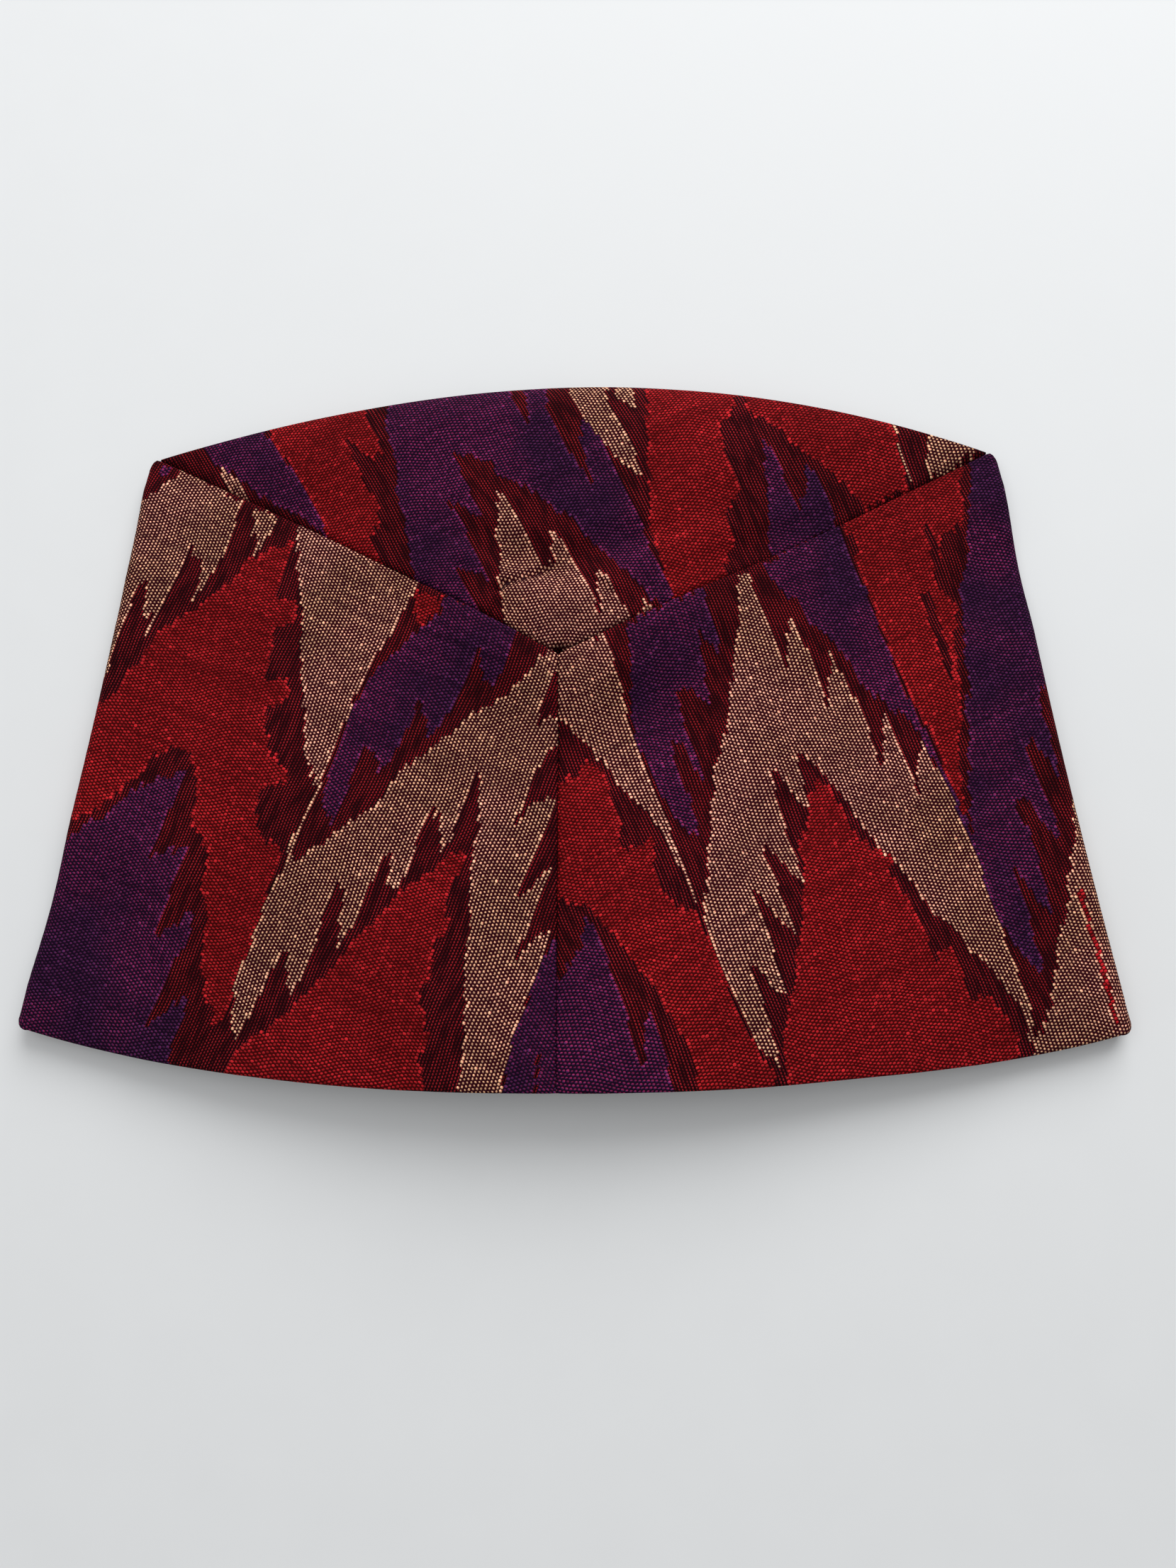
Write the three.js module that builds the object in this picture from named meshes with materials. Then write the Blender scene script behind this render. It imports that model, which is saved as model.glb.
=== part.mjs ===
// A dhaka topi, a soft woven cap, folded flat and lying on its back panel.
// Millimetres, +Z up, +Y from the mouth towards the crown, the table at z = 0.
//
// The band is one strip of cloth sewn into a ring: its ends meet in the seam down the front, it
// turns back in a soft fold at each side, and its tall back lies flat underneath. The crown is one
// sheet sewn between the notched top edge of the front and the arched top edge of the back.

import * as THREE from "three";

// Outline of the folded cap, seen from above.
const MOUTH_WIDTH = 280;
const CROWN_WIDTH = 230;
const SIDE_HEIGHT = 151.5;
const SIDE_WAIST = 1.6;
const ARCH_RISE = 19.2;
const NOTCH_DEPTH = 58;
const NOTCH_SWAY = 1.3;
const FRONT_MOUTH_BOW = 15.6;
const BACK_MOUTH_BOW = 12;
const SEAM_OFFSET = -3;

// Shape of the curved edges: how square the mouth edges are, where 2 is a parabola, and the share
// by which the arch is fuller on the right than on the left.
const MOUTH_SQUARENESS = 2.5;
const ARCH_LEAN = 0.16;

// Heights of the outer face above the table.
const MOUTH_LOFT = 21;
const NOTCH_LOFT = 14;
const MOUTH_FOLD_HEIGHT = 9;
const CROWN_FOLD_HEIGHT = 6;
const CROWN_LOFT = 7.5;
const ARCH_ROUND = 9;

// Cloth and sewing.
const BAND_WALL = 2;
const CROWN_WALL = 1.6;
const SEAM_GAP = 0.3;
const CROWN_STEP = 1.2;
const CROWN_TIP = 5;
const SEAM_GROOVE = 0.9;
const SEAM_GROOVE_WIDTH = 7;

// Soft dents in the front of the band and in the crown. Places across and along are shares:
// across runs from -1 at the left side to 1 at the right, and along runs from the mouth to the
// notched edge on the band, and from the notched edge to the arch on the crown.
const BAND_DENTS = [
  { across: -0.93, along: 0.86, reachAcross: 0.14, reachAlong: 0.10, depth: 0.9 },
  { across: 0.92, along: 0.84, reachAcross: 0.16, reachAlong: 0.08, depth: 1.1 },
  { across: -0.30, along: 0.32, reachAcross: 0.20, reachAlong: 0.22, depth: 1.0 },
  { across: 0.34, along: 0.55, reachAcross: 0.18, reachAlong: 0.26, depth: 0.9 },
];
const CROWN_DENTS = [
  { across: 0.01, along: 0.13, reachAcross: 0.17, reachAlong: 0.13, depth: -1.8 },
  { across: -0.10, along: 0.29, reachAcross: 0.18, reachAlong: 0.10, depth: 1.8 },
  { across: 0.13, along: 0.30, reachAcross: 0.16, reachAlong: 0.09, depth: 0.9 },
  { across: 0.12, along: 0.62, reachAcross: 0.40, reachAlong: 0.28, depth: -1.0 },
];

// How finely each stretch is faceted.
const FRONT_STEPS = 30;
const FOLD_STEPS = 6;
const BACK_STEPS = 14;
const BAND_ROWS = 14;
const CROWN_STEPS = 26;
const CROWN_ROWS = 10;

const mix = (a, b, t) => a + (b - a) * t;
const clampShare = (t) => Math.min(Math.max(t, 0), 1);

// Height over both layers at the side fold: thick at the mouth, pressed thin at the crown.
const foldHeight = (along) => mix(MOUTH_FOLD_HEIGHT, CROWN_FOLD_HEIGHT, along);

// Half the width of the flat layers, which end where the side folds start to turn.
function layerHalfWidth(along) {
  const waist = SIDE_WAIST * 4 * along * (1 - along);
  return mix(MOUTH_WIDTH, CROWN_WIDTH, along) / 2 - waist - foldHeight(along) / 2;
}

// Every across share keeps its place on all layers, with the front seam a little off the middle.
const layerX = (across, along) =>
  across * layerHalfWidth(along) + SEAM_OFFSET * (1 - across * across);

// Top and bottom edges of the layers, as heights up the flat cap. The left arm of the notch bows
// up a little and the right arm sags as much.
const mouthBow = (across) => 1 - Math.abs(across) ** MOUTH_SQUARENESS;
const frontMouthY = (across) => -FRONT_MOUTH_BOW * mouthBow(across);
const backMouthY = (across) => -BACK_MOUTH_BOW * mouthBow(across);
const notchY = (across) => SIDE_HEIGHT - NOTCH_DEPTH * (1 - Math.abs(across))
  - NOTCH_SWAY * 4 * across * (1 - Math.abs(across));
const archY = (across) => SIDE_HEIGHT
  + ARCH_RISE * (1 - across * across) * (1 + ARCH_LEAN * across);

// Sum of the soft dents at one place, each a smooth bowl.
function dentDepth(dents, across, along) {
  let depth = 0;
  for (const dent of dents) {
    const distance = Math.hypot(
      (across - dent.across) / dent.reachAcross,
      (along - dent.along) / dent.reachAlong,
    );
    if (distance < 1) {
      depth += dent.depth * (1 - distance * distance) ** 2;
    }
  }
  return depth;
}

// Valley of the front seam, pinched in between its two lips.
function seamGroove(across, along) {
  const distance = Math.abs(across) * layerHalfWidth(along) / (SEAM_GROOVE_WIDTH / 2);
  return SEAM_GROOVE * Math.max(1 - distance, 0);
}

// Outer face of the front layer: it swells from the side folds to the seam.
function frontZ(across, along) {
  const edge = foldHeight(along);
  const swell = (1 + Math.cos(Math.PI * across)) / 2;
  const loft = mix(MOUTH_LOFT, NOTCH_LOFT, along);
  return edge + (loft - edge) * swell - seamGroove(across, along)
    - dentDepth(BAND_DENTS, across, along);
}

// Outer face of the crown: one step below the front's edge, then down to the rounded arch.
function crownZ(across, along) {
  const sewnEdge = BAND_WALL + SEAM_GAP + CROWN_WALL;
  const puff = CROWN_LOFT * (1 - across * across);
  const open = mix(frontZ(across, 1) - CROWN_STEP, sewnEdge + puff, along);
  const width = archY(across) - notchY(across);
  const fromArch = clampShare((1 - along) * width / ARCH_ROUND);
  const turn = Math.sqrt(1 - (1 - fromArch) ** 2);
  return mix(sewnEdge, open, turn) - dentDepth(CROWN_DENTS, across, along);
}

// Evenly spaced shares from one value to another, both included.
function shares(from, to, steps) {
  return Array.from({ length: steps + 1 }, (_, i) => mix(from, to, i / steps));
}

// Shares across the front, with two more at the edges of the seam groove.
function frontShares() {
  const grooveEdge = SEAM_GROOVE_WIDTH / 2 / layerHalfWidth(0);
  const even = shares(-1, 1, FRONT_STEPS);
  const clear = even.filter((s) => s === 0 || Math.abs(s) > grooveEdge * 1.2);
  return [...clear, -grooveEdge, grooveEdge].sort((a, b) => a - b);
}

// Closed mesh of a cloth wall from matching grids of points on its two faces. A ring of cloth
// joins its last column to its first; a sheet is closed along its two end columns instead.
function wallGeometry(outer, inner, isRing) {
  const columns = outer.length;
  const rows = outer[0].length;
  const positions = [...outer.flat(), ...inner.flat()].flat();
  const outerAt = (i, j) => (i % columns) * rows + j;
  const innerAt = (i, j) => columns * rows + outerAt(i, j);
  const index = [];
  const quad = (a, b, c, d) => index.push(a, b, c, a, c, d);
  const spans = isRing ? columns : columns - 1;
  for (let i = 0; i < spans; i += 1) {
    for (let j = 0; j < rows - 1; j += 1) {
      quad(outerAt(i, j), outerAt(i + 1, j), outerAt(i + 1, j + 1), outerAt(i, j + 1));
      quad(innerAt(i, j), innerAt(i, j + 1), innerAt(i + 1, j + 1), innerAt(i + 1, j));
    }
    quad(outerAt(i, 0), innerAt(i, 0), innerAt(i + 1, 0), outerAt(i + 1, 0));
    quad(outerAt(i, rows - 1), outerAt(i + 1, rows - 1), innerAt(i + 1, rows - 1),
      innerAt(i, rows - 1));
  }
  if (!isRing) {
    const last = columns - 1;
    for (let j = 0; j < rows - 1; j += 1) {
      quad(outerAt(0, j), outerAt(0, j + 1), innerAt(0, j + 1), innerAt(0, j));
      quad(outerAt(last, j), innerAt(last, j), innerAt(last, j + 1), outerAt(last, j + 1));
    }
  }
  const geometry = new THREE.BufferGeometry();
  geometry.setAttribute("position", new THREE.Float32BufferAttribute(positions, 3));
  geometry.setIndex(index);
  geometry.computeVertexNormals();
  return geometry;
}

// Stations once round the band, each a function from a share along and a depth in the cloth to
// a point: the front from left to right, the right fold down, the back, and the left fold up.
function bandStations() {
  const front = frontShares().map((across) => (along, depth) => [
    layerX(across, along),
    mix(frontMouthY(across), notchY(across), along),
    frontZ(across, along) - depth,
  ]);
  const fold = (side, turn) => (along, depth) => {
    const radius = foldHeight(along) / 2;
    return [
      side * (layerHalfWidth(along) + (radius - depth) * Math.sin(turn)),
      SIDE_HEIGHT * along,
      radius + (radius - depth) * Math.cos(turn),
    ];
  };
  const turns = shares(0, Math.PI, FOLD_STEPS).slice(1, -1);
  const rightFold = turns.map((turn) => fold(1, turn));
  const leftFold = turns.map((turn) => fold(-1, Math.PI - turn));
  const back = shares(1, -1, BACK_STEPS).map((across) => (along, depth) => [
    layerX(across, along),
    mix(backMouthY(across), archY(across), along),
    depth,
  ]);
  return [...front, ...rightFold, ...back, ...leftFold];
}

function bandGeometry() {
  const rows = shares(0, 1, BAND_ROWS);
  const face = (depth) => bandStations().map((station) => rows.map((along) => station(along, depth)));
  return wallGeometry(face(0), face(BAND_WALL), true);
}

// The crown stops short of the two upper corners, where the sewn edges run together.
function crownGeometry() {
  const tip = 1 - CROWN_TIP / layerHalfWidth(1);
  const slope = NOTCH_DEPTH / layerHalfWidth(1);
  const clearance = SEAM_GAP * Math.hypot(1, slope);
  const rows = shares(0, 1, CROWN_ROWS).map((t) => 1 - (1 - t) ** 1.25);
  const face = (depth) => shares(-tip, tip, CROWN_STEPS).map((across) => rows.map((along) => [
    layerX(across, 1),
    mix(notchY(across) + clearance, archY(across), along),
    crownZ(across, along) - depth,
  ]));
  return wallGeometry(face(0), face(CROWN_WALL), false);
}

function clothPiece(name, geometry, color) {
  const material = new THREE.MeshStandardMaterial({ color, roughness: 0.9, metalness: 0 });
  const mesh = new THREE.Mesh(geometry, material);
  mesh.name = name;
  return mesh;
}

const topi = new THREE.Group();
topi.name = "dhaka_topi";
topi.add(clothPiece("band", bandGeometry(), 0x6b1a22));
topi.add(clothPiece("crown", crownGeometry(), 0x571a2c));

// The origin lies under the middle of the footprint.
const footprint = new THREE.Box3().setFromObject(topi);
topi.position.y = -(footprint.min.y + footprint.max.y) / 2;

export default topi;
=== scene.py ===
"""A dhaka topi folded flat on its back panel, dressed in its own hand-woven cloth."""
import math

import bmesh
import bpy
import numpy as np
from bpy.props import FloatProperty, FloatVectorProperty, IntProperty, PointerProperty
from mathutils import Matrix, Vector


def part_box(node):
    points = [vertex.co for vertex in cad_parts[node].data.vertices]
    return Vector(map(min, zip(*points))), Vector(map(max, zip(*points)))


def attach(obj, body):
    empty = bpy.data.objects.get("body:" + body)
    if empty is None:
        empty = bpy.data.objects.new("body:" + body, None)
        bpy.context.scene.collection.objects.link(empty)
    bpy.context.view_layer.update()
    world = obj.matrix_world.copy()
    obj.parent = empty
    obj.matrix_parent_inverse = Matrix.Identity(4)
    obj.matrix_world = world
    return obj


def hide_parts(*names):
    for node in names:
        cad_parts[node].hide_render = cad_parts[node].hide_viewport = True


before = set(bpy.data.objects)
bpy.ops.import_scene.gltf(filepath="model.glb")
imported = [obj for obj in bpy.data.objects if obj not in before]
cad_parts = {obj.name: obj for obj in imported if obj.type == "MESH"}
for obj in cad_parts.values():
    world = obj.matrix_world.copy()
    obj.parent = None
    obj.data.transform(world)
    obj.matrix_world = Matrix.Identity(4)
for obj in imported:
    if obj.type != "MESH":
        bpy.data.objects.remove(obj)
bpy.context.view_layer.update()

bl_info = {
    "name": "Dhaka topi",
    "version": (1, 0, 0),
    "blender": (4, 5, 0),
    "location": "View3D > Sidebar > Topi",
    "description": "Builds a folded dhaka topi in woven cloth, with its floor, lights and camera",
    "category": "Object",
}

MM = 0.001
SEED = 27
WEAVE_MAP = "yarn_places"

# Soft dents in the band's front and in the crown: place across and along and reach across and
# along, all as shares, then the depth in millimetres.
BAND_DENTS = (
    (-0.93, 0.86, 0.14, 0.10, 0.9),
    (0.96, 0.79, 0.24, 0.12, 2.6),
    (-0.30, 0.32, 0.20, 0.22, 1.0),
    (0.34, 0.55, 0.18, 0.26, 0.9),
    (-0.16, 0.99, 0.26, 0.15, -2.2),
    (-0.15, 0.80, 0.24, 0.13, 1.4),
    (0.22, 0.97, 0.30, 0.17, -3.2),
    (0.12, 0.76, 0.34, 0.15, 2.6),
    (-0.95, 0.21, 0.30, 0.15, 2.4),
    (-0.88, 0.73, 0.16, 0.07, 0.9),
    (0.46, 0.47, 0.16, 0.10, 1.0),
    (0.00, 0.55, 0.90, 0.42, 1.6),
)
CROWN_DENTS = (
    (0.01, 0.15, 0.17, 0.15, -2.8),
    (-0.10, 0.31, 0.20, 0.12, 2.6),
    (0.13, 0.32, 0.18, 0.11, 1.8),
    (0.12, 0.62, 0.40, 0.28, -1.2),
    (0.42, 0.10, 0.34, 0.16, 1.2),
)

# Sharp creases in the crown: both ends, in millimetres to the right of the band's middle and up
# from the mouth's corners, then half the width and the depth.
CROWN_CREASES = (
    (-21.5, 110.8, -3.0, 118.2, 1.6, 3.2),
    (-17.5, 114.0, -21.5, 97.0, 1.7, 1.8),
    (2.5, 116.0, 13.0, 108.6, 1.6, 2.2),
    (-4.6, 95.0, -0.6, 95.0, 1.8, 3.4),
    (-30.0, 121.0, -26.0, 106.5, 1.8, 1.2),
)

# The flames of each cut of cloth, in the order in which they are laid: yarn colour, then the
# outline in millimetres to the right of the front seam's middle and up from the mouth's corners.
LEFT_FLAMES = (
    ("beige", (-108, 151), (-99.5, 145.5), (-87.5, 138.5), (-92.7, 121.6), (-94.8, 118),
     (-99.6, 111.4), (-98.8, 117), (-98.4, 121.5), (-101.6, 125.5), (-107, 111), (-112.2, 101.4),
     (-110.8, 107), (-113.2, 108), (-112.5, 113), (-114, 117.5), (-120, 98), (-122, 90), (-130, 90),
     (-126, 120), (-117, 140), (-114.5, 139.8), (-105, 148)),
    ("beige", (-84.5, 136.5), (-77.3, 134), (-81, 126.6), (-83.6, 123), (-84.5, 123.2), (-83.2, 128),
     (-86, 128.2), (-84.5, 131.6)),
    ("purple", (-112, 146), (-108, 148.5), (-111, 149)),
    ("red", (-109, 102.5), (-90.5, 115), (-86.5, 120.5), (-80, 124.5), (-73.5, 125.5), (-78, 112),
     (-72, 110), (-71.5, 105), (-77, 102), (-79, 89.5), (-73, 88), (-72.5, 84), (-79, 81), (-77, 69),
     (-71.5, 65), (-71.5, 62), (-80, 59), (-79.5, 52), (-77, 46), (-72, 44), (-75.9, 32),
     (-79.5, 18.4), (-84, 4.7), (-87, 0), (-90.5, 8.4), (-91.4, 13.8), (-92.3, 20.2), (-90.5, 29.3),
     (-92.7, 35.6), (-92.3, 44.7), (-96.8, 51), (-95.5, 58.4), (-97, 68), (-101, 72), (-110, 66),
     (-104, 73), (-112, 63), (-122, 54), (-150, 45), (-150, 78), (-132, 80), (-119.5, 85.3),
     (-117.7, 89), (-113, 94.4)),
    ("purple", (-129.5, 47.5), (-124, 51), (-117.7, 54.7), (-113, 59.3), (-108.5, 62.5),
     (-101.5, 63.8), (-97.5, 66.5), (-107.7, 42), (-102.3, 44.2), (-97.3, 44.8), (-102.3, 30),
     (-106, 21), (-94.8, 28.5), (-95.5, 21), (-98.6, 16.5), (-105.5, 0), (-94, 8.8), (-96, 1),
     (-98.6, -6), (-99.5, -20), (-165, -20), (-165, 42)),
    ("beige", (-72, 133), (-38, 116.5), (-39.5, 112.5), (-45, 101.6), (-50.5, 92.5), (-55, 83.5),
     (-59.5, 71), (-63.5, 60), (-70, 44), (-71.5, 44), (-64.7, 59.7), (-67.8, 69), (-69.6, 94),
     (-70, 107), (-71.8, 119.5), (-72.6, 126.5)),
    ("red", (-40, 110.5), (-31, 108.5), (-34, 104), (-38.5, 102), (-41, 106)),
    ("purple", (-32, 110), (-13, 101), (-16, 90.7), (-20, 84.8), (-21.5, 88), (-23.4, 95),
     (-30, 80.5), (-35.2, 71), (-36, 75), (-38.6, 82), (-40.5, 76), (-46, 65.5), (-49, 61.8),
     (-48.8, 66), (-50.5, 70.5), (-53.2, 69), (-57.7, 54.7), (-60, 50.5), (-62.5, 57.5), (-62, 62.5),
     (-55, 81.2), (-50.3, 90), (-46.5, 93.3), (-40.5, 99.5), (-33.4, 104)),
    ("beige", (-5.5, 95), (4, 95), (4, 88.5), (-4, 87.5), (-9, 74), (-6, 77.5), (4, 80), (4, 71),
     (-5.5, 69), (-8.6, 62), (-10.5, 56.5), (-13.2, 50.6), (-10, 54), (-6.8, 55.8), (-3, 56.5),
     (-12.4, 31.8), (-9.5, 34), (-4, 39.5), (-12.6, 16.8), (-3.8, 24.8), (-6, 17.5), (-13.2, -2.5),
     (-15, -9.8), (-16.5, -20), (-26.5, -20), (-25, -3.5), (-25, 10), (-25.7, 15.6), (-24.5, 21),
     (-24.5, 31), (-24, 44.7), (-22.7, 48.4), (-22.3, 60.5), (-23.4, 62.5), (-29.5, 45.6),
     (-32.3, 40.6), (-32.3, 46.5), (-32.9, 52), (-34.7, 53.5), (-36.8, 48.4), (-39.5, 40.2),
     (-42.3, 33.5), (-45.5, 35.6), (-44.6, 41), (-45.7, 42.5), (-48.6, 36.5), (-51.4, 29.3),
     (-55, 22), (-57.5, 18), (-56.8, 24.7), (-56.4, 34), (-58, 35), (-60.5, 28.4), (-63.2, 18.4),
     (-65.9, 12), (-68.8, 6.6), (-70, 10.2), (-69.6, 17.5), (-70.2, 20.5), (-77.7, 4.7), (-80, -0.7),
     (-82.4, -3.8), (-83.3, 5), (-82.5, 13.8), (-80, 18.4), (-75.9, 32), (-72.3, 38.4), (-70, 44),
     (-68.6, 41), (-49.5, 54.9), (-46, 58.6), (-43.2, 63.2), (-27.7, 75.5), (-24, 79.2),
     (-19.5, 80.9), (-15, 84.6), (-10.5, 89.2)),
    ("red", (-26.5, 43.5), (-35, 38), (-42.3, 32.5), (-49.5, 24.5), (-55, 19), (-58.6, 13.8),
     (-65.9, 7.5), (-69.5, 2.5), (-82, -5.5), (-88, -20), (-33, -20), (-36, -8), (-33.5, -3),
     (-35, 4), (-37, 8), (-33.5, 12), (-33, 20), (-29, 24), (-30.5, 30), (-28.5, 36), (-26, 39)),
    ("purple", (-4, 21), (4, 24), (4, -20), (-16, -20), (-14.8, -9.8), (-13, -2.5), (-10.3, 4.7)),
    ("ground", (-7, -6), (-8, -20), (-9.5, -20)),
)
RIGHT_FLAMES = (
    ("beige", (-6, 96), (10, 98), (10.1, 94.8), (12.9, 86.3), (15.5, 73), (24.4, 50.3), (31.5, 30),
     (30.6, 30.5), (28.3, 36), (23, 48.5), (21.4, 49.2), (19.5, 53), (12, 59.7), (9.2, 64.5),
     (-1.2, 75.5), (-6, 79)),
    ("purple", (14.8, 101.5), (35, 111.5), (34.5, 107), (39.2, 93), (33, 99), (34.6, 88), (36, 80),
     (31.5, 84.5), (27.3, 85), (28.5, 78), (30.5, 70), (33.9, 61.3), (31, 64), (28, 71), (26, 71),
     (27, 63.5), (30.8, 55), (32, 46.5), (26.1, 51.2), (22.6, 57.8), (17.4, 70), (15.9, 75)),
    ("beige", (44, 116.5), (46.5, 115), (55.6, 89.5), (56.6, 104), (58.4, 102), (61, 95.7),
     (63.9, 88.2), (66, 79.8), (66.5, 86), (67.2, 94.2), (73.3, 82.5), (77, 73), (79.2, 62),
     (80.4, 78.5), (82.7, 75), (88.5, 57.5), (88.6, 66), (89.8, 73.2), (93, 65.4), (96, 58.8),
     (98.8, 52.2), (106.3, 28.6), (110.6, 13.5), (113, 7), (114.3, -5), (112.8, -4), (112, 3.5),
     (108.2, 7.8), (105.4, 12.6), (97.8, 20), (95.5, 23.9), (90.3, 27.7), (87.9, 31.4), (83.7, 37),
     (77, 44.6), (73.3, 50.3), (68.6, 57), (61, 66), (56.8, 68.5), (59.4, 59.5), (59.8, 54.6),
     (57.3, 56.2), (53.5, 61.8), (51, 63.5), (52.4, 55), (54.4, 48.4), (58.4, 35.4), (55.4, 37.2),
     (47.6, 45.5), (55.6, 23), (51.6, 25.5), (44.8, 34), (49.2, 21), (52.7, 8.4), (49.2, 9.9),
     (43.8, 16), (49.7, -3.5), (50.1, -9.4), (47.8, -7.4), (44, -2.5), (32.7, 25.8), (33.7, 34.3),
     (36.5, 62.6), (38.5, 70.5), (39.8, 76.9), (41.2, 85.4), (41.7, 93.8), (43.6, 101.4),
     (43, 112.7)),
    ("purple", (50.5, 119), (70, 131.5), (74.2, 119.3), (78, 109), (80.8, 99.5), (83.7, 92),
     (86.5, 83.5), (89.3, 77.8), (100.4, 51), (101.8, 46), (100.2, 46.5), (99.2, 51.2), (96.2, 58.3),
     (93, 65.8), (87, 77.4), (82.7, 79.9), (78, 83.7), (73.3, 89.2), (70.5, 95), (61, 103.5),
     (60, 108.2), (55.4, 110.4), (51.6, 115.4)),
    ("red", (71.5, 132), (106, 153), (104, 141), (103.5, 131), (98, 127), (97.5, 121), (101.5, 107),
     (99.5, 99), (101, 84), (99, 68), (99.5, 60), (101, 50), (98.5, 55), (96, 62), (92.8, 72.5),
     (87, 84), (81.2, 100), (78.4, 109.4), (74.6, 119.8), (75.5, 125), (72, 128)),
    ("ground", (93, 131), (96, 127), (98, 119), (100.5, 111), (99, 109), (96, 117)),
    ("ground", (92, 112), (94, 113), (97, 100), (99, 90), (97.5, 88), (95, 100), (92.5, 108)),
    ("purple", (107.3, 154), (160, 152), (160, 88), (121, 86), (120, 83.5), (122, 77), (125, 61),
     (121.5, 68), (117.5, 73), (116.7, 69), (124.5, 46), (120.5, 49), (116, 57), (112.9, 55),
     (116.7, 46.5), (120.8, 27), (117, 31), (113, 38), (111.4, 37.5), (113.9, 30.5), (115.3, 23),
     (117.8, 12.8), (115, 14.5), (111, 19), (107.3, 25.8), (103.5, 37), (101.6, 44.6), (101.1, 53),
     (102, 70), (101.6, 80.6), (103.5, 86.3), (102, 92), (103, 107), (102.3, 113.7), (104.4, 120.3),
     (106.3, 139)),
    ("beige", (127.8, 57), (165, 57), (165, -20), (110, -20), (115, -3.5), (118.8, 6.5), (120, 10.7),
     (120.7, 17.3), (124.4, 31.4), (125.3, 38), (127.2, 44.6)),
    ("red", (126.9, 35), (127.8, 35), (135.3, 0), (134.2, 0)),
    ("red", (62.7, 61.5), (60.2, 57), (60, 50.3), (57.5, 45.6), (57.7, 35.2), (57.2, 26.7),
     (55.4, 19), (55.4, 11.6), (52.3, 0.3), (51.6, -20), (112, -20), (110, -3), (107, 3),
     (101.6, 8.5), (98, 5), (97.5, 12), (94, 20.5), (90, 16), (88, 24), (85, 31), (80, 37),
     (80.5, 42.5), (76, 43), (72, 47), (66.7, 58)),
    ("red", (-6, 60), (2, 62), (4.4, 66), (9.2, 62.5), (10.6, 54), (13, 50.3), (12.9, 43.7),
     (20.5, 46), (21.4, 36), (24.2, 31), (30.8, 27.5), (32.7, 24.5), (39.3, 6.8), (42.2, 0),
     (46, -6.6), (49, -10), (50, -20), (31, -20), (30, -9), (26, 0), (20.5, 9.7), (13.9, 17.3),
     (9.2, 24), (4.4, 29.5), (-6, 31)),
    ("purple", (4, 26.5), (2.8, 19), (0.7, 15.4), (-6, 9), (-6, -20), (25, -20), (24.2, -11),
     (22.4, -2.5), (19.3, 4.5), (18, -3), (17.8, -10), (15.3, -2.5), (12.9, 6), (8.2, 19), (6.3, 24)),
)
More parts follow.
